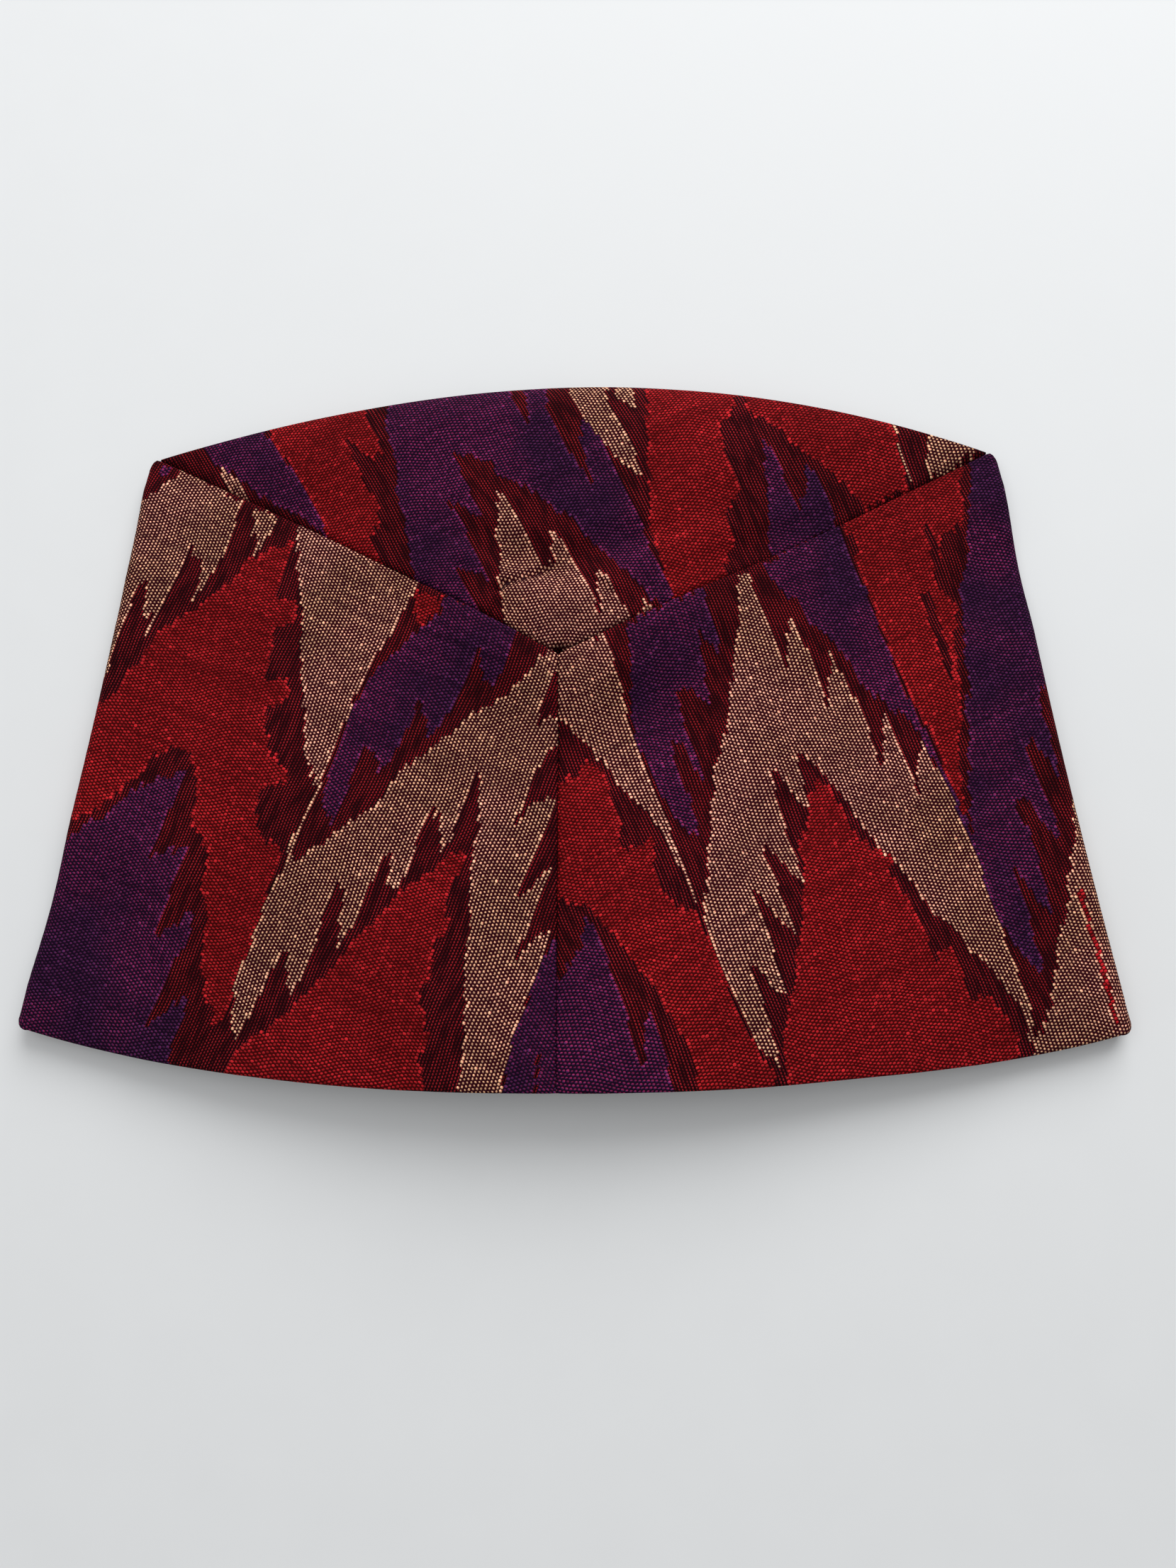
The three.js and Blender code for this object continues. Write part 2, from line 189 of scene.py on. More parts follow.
CROWN_FLAMES = (
    ("beige", (-95.5, 149), (-93, 148), (-88, 142.5), (-86, 138.5), (-88.5, 139.5), (-92.5, 142),
     (-94, 145)),
    ("purple", (-102, 158), (-84, 166), (-84.2, 159.5), (-75, 146.8), (-63.5, 128), (-66, 128.5),
     (-73.3, 134.8), (-80, 137.5), (-86.7, 142.5), (-91.7, 147.5), (-97, 149.5)),
    ("red", (-84, 164), (-56.5, 169), (-55.5, 161.5), (-52.5, 156), (-50.5, 150.5), (-54, 148),
     (-57.5, 153), (-60.5, 155), (-54.5, 141), (-51.5, 138.5), (-50.5, 131), (-53, 127), (-48, 116),
     (-64, 126), (-66.5, 132.5), (-74.8, 147), (-79.8, 153.7)),
    ("purple", (-50.5, 170), (-17, 174), (-16.5, 166.5), (-11.3, 157.8), (-12, 164), (-13.5, 174),
     (-7, 174), (-6.7, 163.5), (0, 148.5), (4.2, 142.7), (6, 137.8), (5, 143), (2.5, 152),
     (3.2, 159.3), (8.8, 151.8), (12.5, 142.7), (17.5, 132.7), (20.8, 122.7), (29, 104), (24.5, 105),
     (19.2, 110.2), (14.2, 116), (9.2, 121), (3.3, 126), (0.8, 131), (-4.2, 132.7), (-7.5, 136.8),
     (-19.2, 142.7), (-20.8, 146.2), (-31.3, 150.3), (-26.7, 138.5), (-21.5, 129.8), (-29, 134.5),
     (-33.4, 136.4), (-28.3, 130.2), (-25.8, 124.3), (-20.6, 113.8), (-30.2, 118), (-24.2, 106.8),
     (-22, 100), (-41, 110), (-40, 113.5), (-42.5, 122.7), (-44.2, 132.7), (-46.3, 139.3),
     (-46.7, 148.5), (-49.2, 156.8)),
    ("beige", (-18.8, 139), (-5.6, 116.3), (-4.4, 122.7), (-5.2, 129.5), (-3, 126), (4.2, 112.7),
     (8, 103.6), (7.4, 111), (6.5, 119), (13.3, 107.7), (17, 101), (18.2, 104.5), (19.2, 109),
     (21.7, 104.5), (22.5, 100.5), (0, 88), (-16, 98), (-17.5, 106.8), (-19.2, 112.7), (-18.3, 121),
     (-19.7, 126)),
    ("beige", (-1, 176), (9.5, 176), (10, 164.3), (16.7, 149.3), (19.5, 141), (11.7, 146.8),
     (3.3, 159.3), (0, 166)),
    ("beige", (11, 176), (16, 176), (17.8, 160.5), (12, 166)),
    ("red", (20, 176), (45, 176), (44, 163), (39.5, 157), (41, 148.5), (44.2, 140.5), (40.5, 131.5),
     (42.5, 126), (40.5, 117), (42, 113.5), (27, 106), (24.4, 116), (21.9, 124.3), (20.2, 132.7),
     (21, 141), (20.2, 151)),
    ("purple", (51.7, 153.8), (51.3, 147), (52.6, 129.3), (51.5, 121), (58, 123), (70.8, 129.5),
     (68.3, 138.5), (62.9, 147.6), (62.2, 140), (60.5, 134), (57.5, 141), (55, 148.5)),
    ("red", (46, 176), (85, 176), (90.3, 141), (78, 135.5), (75, 140), (66, 147.5), (61, 150.5),
     (57, 155), (52, 159.5), (47, 162.5)),
    ("beige", (85.8, 162), (86.7, 162), (91.4, 142), (90.5, 142)),
    ("beige", (97.5, 160), (112, 156), (108.3, 151), (95.5, 143), (95.8, 145), (95.4, 149.3),
     (95.8, 154.3)),
)

# The right half of one whole flame, as shares of its width and height, and the flames that the
# hidden back is given: yarn colour, middle, foot, height and width in millimetres.
FLAME_SIDE = (
    (0, 1), (0.05, 0.93), (0.12, 0.9), (0.16, 0.78), (0.26, 0.82), (0.3, 0.68), (0.24, 0.6),
    (0.4, 0.64), (0.5, 0.5), (0.4, 0.42), (0.5, 0.3), (0.3, 0.3), (0.34, 0.18), (0.2, 0.2),
    (0.12, 0.06), (0, 0),
)
BACK_FLAMES = (
    ("purple", -124, -30, 88, 74), ("beige", -112, 66, 84, 34), ("red", -118, 34, 58, 60),
    ("red", -74, -28, 96, 40), ("beige", -40, -30, 104, 52), ("purple", -78, 74, 96, 44),
    ("red", -36, 78, 102, 38), ("purple", 0, -26, 92, 34), ("beige", 2, 70, 96, 46),
    ("red", 40, -30, 100, 48), ("purple", 42, 76, 102, 38), ("beige", 80, -28, 92, 42),
    ("red", 80, 70, 92, 40), ("beige", 126, -30, 92, 72), ("purple", 114, 58, 96, 56),
)
YARNS = ("ground", "red", "beige", "purple")

# Rims of each cut, over which its outer face turns down to the edge: width and depth in metres at
# its first side, last side, lower edge and upper edge.
FRONT_RIMS = ((0.0009, 0.0005), (0, 0), (0.0010, 0.0010), (0.0013, 0.0010))
BACK_RIMS = ((0, 0), (0, 0), (0.0010, 0.0010), (0.0010, 0.0010))
CROWN_RIMS = ((0.0004, 0.0004), (0.0004, 0.0004), (0.0030, 0.0015), (0.0008, 0.0008))

# Extra mesh lines in a rim as shares of its width, and how many yarns a cell of the inner face spans.
RIM_LINES = (0.15, 0.45, 1)
INNER_CELL = 3

# How square the mouth edges are, where 2 is a parabola, and the share by which the arch is fuller
# on the right than on the left.
MOUTH_SQUARENESS = 2.5
ARCH_LEAN = 0.16

# Where the upper corners and the mouth's ends start to be pressed, as shares up the sides and out
# from the middle, and the share out from the middle where the mouth's ends start to hang.
CORNERS_PRESSED = (0.92, 0.75)
MOUTH_PRESSED = (0.075, 0.4)
SAG_START = 0.45

# The front's first share beside the seam, and the least height of a cut in metres.
SEAM_START = 0.00002
LEAST_HEIGHT = 0.0003

# Shortest and longest wave of the cloth's ripples in metres, and how many waves cross.
RIPPLE_WAVES = (0.016, 0.05, 7)

# Waves by which the yarns stray from straight, across and along: how far in metres, radians a
# metre to the right and up, and phase.
STRAY_ACROSS = ((0.0004, 60, 170, 0),)
STRAY_ALONG = ((0.0004, 150, -70, 1), (0.00025, 410, 90, 0))

# Half the width in metres over which the crown's warp fans out, and the height that its yarns are
# counted from.
FAN_REACH = 0.1
CROWN_YARN_FOOT = 0.13

# Rows by which the steps of a flame's edge are shifted, how many columns draw one, and how many
# picks draw their own tone.
STEP_SHIFTS = (-1, 0, 0, 0, 1, 2)
SHIFTED_COLUMNS = 1800
PICK_TONES = 4096

# Middle and spread of the tones of the inlay yarns and of the picks, and the chance of a knot at a
# flame's edge and elsewhere.
YARN_TONE = (0.5, 0.18)
PICK_TONE = (0.5, 0.2)
KNOT_CHANCE = (0.4, 0.01)

# Yarn dots of the inlay, of the ground's red picks and of the reverse face, in yarn pitches.
INLAY_DOTS = {"Density": 1.0, "Softness": 0.32, "Raggedness": 0.2}
PICK_DOTS = {"Density": 1.15, "Dot width": 0.22, "Dot length": 0.31, "Softness": 0.8,
             "Raggedness": 0.22}
REVERSE_DOTS = {"Density": 1.25, "Dot width": 0.42, "Dot length": 0.42, "Softness": 0.6,
                "Raggedness": 0.15}

# Half the side of the floor, and width and place of the two soft lights, all in metres.
FLOOR_REACH = 3.0
KEY_LIGHT = (1.2, (0.32, 1.0, 0.85))
FILL_LIGHT = (1.6, (-0.5, 0.2, 1.5))
SENSOR_WIDTH = 36.0


def mix(a, b, share):
    return a + (b - a) * share


def smooth(low, high, value):
    """A soft step from 0 at low to 1 at high."""
    share = np.clip((value - low) / (high - low), 0, 1)
    return share * share * (3 - 2 * share)


def length(name, description, default):
    """A size of the cap in metres."""
    return FloatProperty(name=name, description=description, default=default, min=0.0,
                         precision=5, unit="LENGTH")


def angle(name, description, degrees):
    return FloatProperty(name=name, description=description, default=math.radians(degrees),
                         subtype="ANGLE", unit="ROTATION")


def colour(name, description, default):
    return FloatVectorProperty(name=name, description=description, default=default, size=3,
                               min=0.0, max=1.0, subtype="COLOR")


def power(name, description, default):
    return FloatProperty(name=name, description=description, default=default, min=0.0,
                         subtype="POWER", unit="POWER")


class TopiSizes(bpy.types.PropertyGroup):
    """Sizes of the folded cap."""

    mouth_width: length("Mouth width", "Across the folded mouth",
                        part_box("band")[1].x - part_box("band")[0].x)
    crown_width: length("Crown width", "Between the upper corners", 0.23)
    side_height: length("Side height", "From the mouth to an upper corner", 0.1515)
    side_waist: length("Side waist", "How far each side fold bows inwards", 0.0016)
    arch_rise: length("Arch rise", "The arched top edge above the corners", 0.0192)
    notch_depth: length("Notch depth", "The front's notch below the corners", 0.058)
    notch_sway: length("Notch sway", "How far the notch's arms bow", 0.0013)
    front_bow: length("Front mouth bow", "The front's mouth edge below its corners", 0.0156)
    back_bow: length("Back mouth bow", "The back's mouth edge below its corners", 0.012)
    seam_offset: length("Seam offset", "The front seam to the left of the middle", 0.003)
    mouth_loft: length("Mouth loft", "Height over the seam at the mouth", 0.021)
    notch_loft: length("Notch loft", "Height over the seam at the notch", 0.014)
    mouth_fold: length("Mouth fold", "Height of the side folds at the mouth", 0.009)
    crown_fold: length("Crown fold", "Height of the side folds at the top", 0.006)
    crown_loft: length("Crown loft", "How far the crown puffs up at the arch", 0.0075)
    arch_round: length("Arch rounding", "Width over which the crown turns down", 0.014)
    band_wall: length("Band wall", "Thickness of the band's cloth", 0.002)
    crown_wall: length("Crown wall", "Thickness of the crown's cloth", 0.0016)
    seam_gap: length("Seam gap", "Room between the sewn edges", 0.00015)
    crown_step: length("Crown step", "The front's edge above the crown", 0.0021)
    crown_tip: length("Crown tip", "The crown stops this far from the corners", 0.0006)
    seam_groove: length("Seam groove", "Depth of the valley along the front seam", 0.0009)
    seam_groove_width: length("Seam groove width", "Width of that valley", 0.007)
    ripple: length("Ripple", "Height of the soft ripples in the cloth", 0.00035)
    corner_press: length("Pressed corners", "How far the upper corners are pressed down", 0.0014)
    mouth_press: length("Pressed mouth", "How far the mouth's ends are pressed down", 0.0018)
    corner_round: length("Corner rounding", "Radius of the upper corners", 0.0038)
    mouth_round: length("Mouth rounding", "Radius of the mouth's corners", 0.0032)
    left_sag: length("Left sag", "How far the mouth's left end hangs lower", 0.0011)
    right_sag: length("Right sag", "How far the mouth's right end hangs lower", 0.0026)


class TopiCloth(bpy.types.PropertyGroup):
    """Yarns and weave of the cloth."""

    pitch: length("Yarn pitch", "From one yarn dot to the next", 0.0009)
    left_lean: angle("Left lean", "Lean of the warp on the left front", 21)
    right_lean: angle("Right lean", "Lean of the warp on the right front", -21)
    crown_left_lean: angle("Crown left lean", "Lean of the warp at the crown's left", -33)
    crown_right_lean: angle("Crown right lean", "Lean of the warp at its right", -20)
    step_rows: IntProperty(name="Step rows", description="Rows in one step of a flame's edge",
                           default=3, min=1)
    ground: colour("Ground", "Warp yarn of the ground", (0.010, 0.0012, 0.0025))
    ground_dot: colour("Ground dots", "Red picks that show in the ground", (0.38, 0.017, 0.024))
    gap: colour("Gaps", "Warp yarn that shows between beige dots", (0.030, 0.002, 0.006))
    red: colour("Red", "Red inlay yarn", (0.45, 0.016, 0.021))
    beige: colour("Beige", "Beige inlay yarn", (0.98, 0.55, 0.32))
    # Painted shade: the darker reddish colour laid on one side of each beige dot.
    beige_painted_shade: colour("Beige painted shade", "Reddish shade on one side of the beige dots", (0.50, 0.13, 0.10))
    rosy: colour("Rosy beige", "Beige where it has taken up some red dye", (0.98, 0.51, 0.35))
    magenta: colour("Magenta", "Brighter strand of the purple yarn", (0.24, 0.020, 0.085))
    violet: colour("Violet", "Duller strand of the purple yarn", (0.058, 0.017, 0.078))
    reverse: colour("Reverse", "Reverse face of the cloth", (0.045, 0.012, 0.016))
    relief: length("Relief", "Height of the yarn dots", 0.0004)


class TopiStage(bpy.types.PropertyGroup):
    """Camera, lights and floor."""

    floor: colour("Floor", "Colour of the floor", (0.715, 0.73, 0.74))
    camera_place: FloatVectorProperty(
        name="Camera place", description="Camera from the middle of the mouth's corners",
        default=(0.0101, 0.00818, 0.32805), size=3, subtype="XYZ", unit="LENGTH")
    camera_tilt: angle("Camera tilt", "Tilt away from straight down", 9.32)
    camera_turn: angle("Camera turn", "Turn to the side", -1.0)
    camera_roll: angle("Camera roll", "Roll about the view", -0.242)
    focal: FloatProperty(name="Focal length", description="Focal length of the lens, in mm",
                         default=29.1, min=1.0, subtype="DISTANCE_CAMERA")
    key: power("Key light", "Power of the soft main light", 16.5)
    fill: power("Fill light", "Power of the wide light above", 8.0)
    sky: FloatProperty(name="Sky", description="Strength of the even light around", default=0.36,
                       min=0.0, max=10.0)


def dents_at(dents, across, along):
    """Sum of the soft bowls at each place, in metres."""
    depth = np.zeros_like(across)
    for place_across, place_along, reach_across, reach_along, deep in dents:
        away = np.hypot((across - place_across) / reach_across,
                        (along - place_along) / reach_along)
        depth += deep * MM * np.maximum(1 - away * away, 0) ** 2
    return depth


def creases_at(creases, x, y):
    """Sum of the sharp folds at each place, in metres, each along a line that fades at its ends."""
    depth = np.zeros_like(x)
    for ax, ay, bx, by, wide, deep in creases:
        to_x, to_y = bx - ax, by - ay
        along = ((x / MM - ax) * to_x + (y / MM - ay) * to_y) / (to_x**2 + to_y**2)
        along = np.clip(along, 0, 1)
        away = np.hypot(x / MM - mix(ax, bx, along), y / MM - mix(ay, by, along)) / wide
        depth += deep * MM * np.maximum(1 - away, 0) ** 1.4 * (1 - (2 * along - 1) ** 4)
    return depth


def ripples_at(x, y, salt):
    """Soft unevenness of limp cloth, from about -1 to 1, as a few crossing waves."""
    rng = np.random.default_rng(SEED + salt)
    total = np.zeros_like(x)
    for wave in rng.uniform(*RIPPLE_WAVES):
        turn, phase = rng.uniform(0, 2 * math.pi, 2)
        total += np.sin((x * math.cos(turn) + y * math.sin(turn)) * 2 * math.pi / wave + phase)
    return total / 4


def fold_height(s, along, across=1.0):
    """Height over both layers at the side folds, which are pressed thinner at both their ends."""
    (top, top_out), (foot, foot_out) = CORNERS_PRESSED, MOUTH_PRESSED
    pressed = (s.corner_press * smooth(top, 1, along) * smooth(top_out, 1, np.abs(across))
               + s.mouth_press * smooth(foot, 0, along) * smooth(foot_out, 1, np.abs(across)))
    return mix(s.mouth_fold, s.crown_fold, along) - pressed


def half_width(s, along):
    """Half the width of the flat layers, which end where the side folds start to turn."""
    waist = s.side_waist * 4 * along * (1 - along)
    return mix(s.mouth_width, s.crown_width, along) / 2 - waist - fold_height(s, along) / 2


def layer_x(s, across, along):
    return across * half_width(s, along) - s.seam_offset * np.maximum(1 - across**2, 0)


def across_at(s, x, along):
    """The share across of each x, the inverse of layer_x."""
    half = half_width(s, along)
    across = x / half
    for _ in range(6):
        across = (x + s.seam_offset * np.maximum(1 - across**2, 0)) / half
    return across


def mouth_y(s, bow, across):
    """Lower edge of the front or the back, whose two ends hang a little lower."""
    sag = np.where(across < 0, s.left_sag, s.right_sag) * smooth(SAG_START, 1, np.abs(across))
    return -bow * (1 - np.abs(across) ** MOUTH_SQUARENESS) - sag


def notch_y(s, share, side):
    sway = s.notch_sway * 4 * side * share * (1 - share)
    return s.side_height - s.notch_depth * (1 - share) - sway


def arch_y(s, across):
    return s.side_height + s.arch_rise * (1 - across**2) * (1 + ARCH_LEAN * across)


def front_z(s, across, along):
    """Outer face of the front layer, which swells from the side folds to the seam."""
    edge, loft = fold_height(s, along, across), mix(s.mouth_loft, s.notch_loft, along)
    groove = np.maximum(1 - np.abs(across) * half_width(s, along) * 2 / s.seam_groove_width, 0)
    swell = (1 + np.cos(math.pi * across)) / 2
    return (edge + (loft - edge) * swell - s.seam_groove * groove**1.5
            - dents_at(BAND_DENTS, across, along))


def round_corners(s, x, y, low, high, v):
    """Heights up the flat cap with the band's four corners rounded off."""
    outside = half_width(s, v) + fold_height(s, v) / 2
    for radius, edge, way in ((s.corner_round, high, -1), (s.mouth_round, low, 1)):
        over = np.clip(np.abs(x) - outside + radius, 0, radius)
        drop = radius - np.sqrt(radius**2 - over**2)
        y = y + way * drop * np.clip(1 - np.abs(edge - y) / (2.5 * radius), 0, 1)
    return y


def corner_line(s):
    """Where the line through the mouth's corners lies in the frame."""
    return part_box("band")[0].y + s.front_bow


class Weave:
    """Yarns of one cut of cloth: columns along the warp, which may fan out, and rows across."""

    def __init__(self, pitch, lean_left, lean_right, foot=0.0):
        self.lean_left, self.lean_right, self.foot = lean_left, lean_right, foot
        self.spread = pitch / math.cos((lean_left + lean_right) / 2)

    def slope(self, x):
        share = np.clip((x / FAN_REACH + 1) / 2, -0.2, 1.2)
        return np.tan(mix(self.lean_left, self.lean_right, share))

    def stray(self, x, y):
        """How far the yarns stray from straight at each place, across and along."""
        return [sum(far * np.sin(per_x * x + per_y * y + phase)
                    for far, per_x, per_y, phase in waves) for waves in (STRAY_ACROSS, STRAY_ALONG)]

    def spot(self, column, row):
        """Where a yarn crossing lies on the flat cut, in metres."""
        start = column * self.spread
        x, y = start, self.foot + row * self.spread
        for _ in range(12):
            y = self.foot + row * self.spread - x * self.slope(x / 2)
            x = start + self.slope(start) * (y - self.foot)
        stray_x, stray_y = self.stray(x, y)
        return x + stray_x, y + stray_y

    def count(self, x, y):
        """Column and row of each place on the flat cut, the inverse of spot."""
        bent_x, bent_y = x, y
        for _ in range(8):
            stray_x, stray_y = self.stray(x, y)
            x, y = bent_x - stray_x, bent_y - stray_y
        start = x
        for _ in range(12):
            start = x - self.slope(start) * (y - self.foot)
        return start / self.spread, (y - self.foot + x * self.slope(x / 2)) / self.spread


class Cut:
    """One cut of cloth. Share u runs across it, and share v from its lower to its upper edge."""

    start, end, extra_line = -1.0, 1.0, 0.0

    def level(self, v):
        """Where up the side folds the width of the layers is taken."""
        return v

    def flat_x(self, u, v):
        return layer_x(self.s, u, self.level(v))

    def flat(self, u, v):
        """Where each place of the cut lies on the flat cloth, in metres."""
        return self.flat_x(u, v), mix(*self.rows(u), v)

    def share_at(self, x, v):
        return across_at(self.s, x, self.level(v))

    def find(self, x, y):
        """Shares u and v of each place on the flat cloth, the inverse of flat."""
        v = y / self.s.side_height
        for _ in range(10):
            u = self.share_at(x, v)
            low, high = self.rows(u)
            v = (y - low) / np.maximum(high - low, LEAST_HEIGHT)
        return u, v

    def spans(self, u, v):
        """Width and height of the cut at each place, in metres."""
        low, high = self.rows(u)
        return half_width(self.s, self.level(v)), high - low


class Front(Cut):
    """Half of the band's front with its side fold: 0 at the seam, 1 where the fold starts."""

    start, end, extra_line = SEAM_START, 2.0, 1.0
    rims, held, carrier = FRONT_RIMS, "folded", "band_back"

    def __init__(self, s, cloth, side):
        self.s, self.side, self.wall = s, side, s.band_wall
        left = side < 0
        self.flames, self.salt = (LEFT_FLAMES, 1) if left else (RIGHT_FLAMES, 2)
        lean = cloth.left_lean if left else cloth.right_lean
        self.weave = Weave(cloth.pitch, lean, lean)

    def rows(self, u):
        """Lower and upper edge of the cut at each share across."""
        share = np.minimum(u, 1)
        low = mouth_y(self.s, self.s.front_bow, self.side * share)
        return low, notch_y(self.s, share, self.side)

    def flat_x(self, u, v):
        turned = half_width(self.s, v) + fold_height(self.s, v) / 2 * math.pi * (u - 1)
        return np.where(u <= 1, layer_x(self.s, self.side * np.minimum(u, 1), v),
                        self.side * turned)

    def share_at(self, x, v):
        turned = (self.side * x - half_width(self.s, v)) / (fold_height(self.s, v) / 2 * math.pi)
        u = self.side * across_at(self.s, x, v)
        return np.where(u > 1, 1 + turned, u)

    def place(self, u, v, depth):
        """Where each place lies on the folded cap, at a depth under its outer face."""
        s, inside = self.s, np.clip(v, 0, 1)
        x, y = self.flat(u, v)
        calm = np.clip((1 - u) * 5, 0, 1) * np.clip(u * 12, 0, 1)
        z = front_z(s, self.side * np.minimum(u, 1), inside)
        z += s.ripple * calm * ripples_at(x, y, self.salt)
        radius, turn = fold_height(s, v) / 2, math.pi * np.clip(u - 1, 0, 1)
        dent = dents_at(BAND_DENTS, np.full_like(u, self.side), inside)
        folded_x = self.side * (half_width(s, v) + (radius - depth) * np.sin(turn))
        folded_z = radius + (radius - depth) * np.cos(turn) - dent * (1 + np.cos(turn)) / 2
        x = np.where(u <= 1, x, folded_x)
        return x, round_corners(s, x, y, *self.rows(u), v), np.where(u <= 1, z - depth, folded_z)


class Back(Cut):
    """The band's tall back, which lies on the floor with its outer face down."""

    rims, held, carrier, salt = BACK_RIMS, "laid", "floor", 3

    def __init__(self, s, cloth):
        self.s, self.wall = s, s.band_wall
        self.flames = tuple((yarn, *whole_flame(*rest)) for yarn, *rest in BACK_FLAMES)
        self.weave = Weave(cloth.pitch, 0.0, 0.0)

    def rows(self, u):
        return mouth_y(self.s, self.s.back_bow, np.clip(u, -1, 1)), arch_y(self.s, u)

    def place(self, u, v, depth):
        x, y = self.flat(u, v)
        return x, round_corners(self.s, x, y, *self.rows(u), v), depth + np.zeros_like(x)


class Crown(Cut):
    """The crown sheet between the notched front edge and the arched back edge."""

    rims, held, carrier, salt = CROWN_RIMS, "laid", "band_back", 4

    def __init__(self, s, cloth):
        self.s, self.wall, self.flames = s, s.crown_wall, CROWN_FLAMES
        self.weave = Weave(cloth.pitch, cloth.crown_left_lean, cloth.crown_right_lean,
                           CROWN_YARN_FOOT)
        self.end = 1 - s.crown_tip / half_width(s, 1)
        self.start = -self.end
        self.clearance = s.seam_gap * math.hypot(1, s.notch_depth / half_width(s, 1))

    def level(self, v):
        """The whole sheet is as wide as the band is at its upper corners."""
        return np.ones_like(v)

    def rows(self, u):
        low = notch_y(self.s, np.abs(u), np.sign(u))
        return low + self.clearance, arch_y(self.s, u)

    def place(self, u, v, depth):
        """Where each place lies: below the front's edge, then over to the rounded arch."""
        s, inside = self.s, np.clip(v, 0, 1)
        x, y = self.flat(u, v)
        low, high = self.rows(u)
        sewn = s.band_wall + s.seam_gap + s.crown_wall
        puff = s.crown_loft * (1 - u * u)
        open_z = mix(front_z(s, u, np.ones_like(u)) - s.crown_step, sewn + puff, inside)
        from_arch = np.clip((1 - inside) * (high - low) / s.arch_round, 0, 1)
        turn = np.sqrt(np.maximum(1 - (1 - from_arch) ** 2, 0))
        calm = np.clip(inside * 6, 0, 1) * turn * np.clip((1 - np.abs(u)) * 5, 0, 1)
        z = mix(sewn, open_z, turn) - dents_at(CROWN_DENTS, u, inside)
        z += s.ripple * calm * ripples_at(x, y, self.salt) - creases_at(CROWN_CREASES, x, y)
        return x, y, z - depth


def whole_flame(middle, foot, tall, wide):
    """Outline of one guessed flame, from the right half's shares."""
    right = [(middle + a * wide, foot + b * tall) for a, b in FLAME_SIDE]
    left = [(middle - a * wide * 0.92, foot + (b - 0.03) * tall) for a, b in FLAME_SIDE[-2:0:-1]]
    return right + left


def inside_outline(x, y, outline):
    """Which places lie inside an outline, by counting its crossings."""
    inside = np.zeros(len(x), bool)
    for (ax, ay), (bx, by) in zip(outline, outline[1:] + outline[:1]):
        if ay != by:
            crossed = (ay > y) != (by > y)
            inside ^= crossed & (x < ax + (y - ay) * (bx - ax) / (by - ay))
    return inside


def yarn_at(cut, column, row, step_rows):
    """Number of the yarn in each cell, with the flames' edges stepped as a weaver counts them."""
    rng = np.random.default_rng(SEED + 50 + cut.salt)
    shifts = rng.choice(STEP_SHIFTS, SHIFTED_COLUMNS)
    shift = shifts[(column.astype(int) + SHIFTED_COLUMNS // 2) % SHIFTED_COLUMNS]
    counted = (np.floor((row + shift) / step_rows) + 0.5) * step_rows - shift
    x, y = cut.weave.spot(column, counted)
    yarn = np.zeros(len(column), int)
    for name, *outline in cut.flames:
        yarn[inside_outline(x / MM, y / MM, outline)] = YARNS.index(name)
    return yarn


def ends_of_floats(cut, column, row, step_rows):
    """Which cells lie at a flame's edge, where the inlay yarn turns back in a knot."""
    here, before, after = (yarn_at(cut, column + step, row, step_rows) for step in (0, -1, 1))
    return (here > 0) & ((before != here) | (after != here))


def lattice(cut, step):
    """Cells that follow the yarns and cover the cut, as corners in shares u, v and quads."""
    edge = np.linspace(0, 1, 60)
    across, none = mix(cut.start, cut.end, edge), 0 * edge
    u = np.concatenate([across, across, none + cut.start, none + cut.end])
    v = np.concatenate([none, none + 1, edge, edge])
    column, row = cut.weave.count(*cut.flat(u, v))
    columns, slants = (np.arange(math.floor(line.min()) - 1, math.ceil(line.max()) + 2, step) - 0.5
                       for line in (column, row - column / 2))
    p, q = (part.ravel() for part in np.meshgrid(columns, slants, indexing="ij"))
    u, v = cut.find(*cut.weave.spot(p, q + p / 2))
    near = (u > cut.start - 0.001) & (u < cut.end + 0.001) & (v > -0.001) & (v < 1.001)
    many = len(slants)
    corner = (np.arange(len(columns) - 1)[:, None] * many + np.arange(many - 1)).ravel()
    quads = np.stack([corner, corner + many, corner + many + 1, corner + 1], 1)
    used, quads = np.unique(quads[near[quads].any(1)], return_inverse=True)
    return np.stack([u[used], v[used], 0 * u[used]], 1), quads.reshape(-1, 4)


def trimmed(cut, step, inset, rim_lines):
    """The lattice trimmed to the cut, with extra lines beside its rims, as a bmesh."""
    corners, quads = lattice(cut, step)
    mesh = bpy.data.meshes.new("lattice")
    mesh.from_pydata(corners.tolist(), [], quads.tolist())
    bm = bmesh.new()
    bm.from_mesh(mesh)
    bpy.data.meshes.remove(mesh)
    width, height = (float(span[0]) for span in cut.spans(*np.full((2, 1), 0.5)))
    first, last, foot, top = (rim / scale for (rim, _), scale in
                              zip(cut.rims, (width, width, height, height)))
    ends = (cut.start + first * inset, cut.end - last * inset, foot * inset, 1 - top * inset)

    # Each line is a share, the axis that it is measured on, and the side of it that is cleared.
    lines = [(ends[0], 0, -1), (ends[1], 0, 1), (ends[2], 1, -1), (ends[3], 1, 1),
             (cut.extra_line, 0, 0)]
    for share in rim_lines:
        lines += [(cut.start + first * share, 0, 0)] if first else []
        lines += [(cut.end - last * share, 0, 0)] if last else []
        lines += [(foot * share, 1, 0), (1 - top * share, 1, 0)]
    for share, axis, cleared in lines:
        place, normal = Vector(), Vector()
        place[axis], normal[axis] = share, cleared or 1
        bmesh.ops.bisect_plane(bm, geom=bm.verts[:] + bm.edges[:] + bm.faces[:], dist=1e-6,
                               plane_co=place, plane_no=normal, clear_outer=cleared != 0)
    bm.verts.ensure_lookup_table()
    bm.verts.index_update()
    return bm, ends


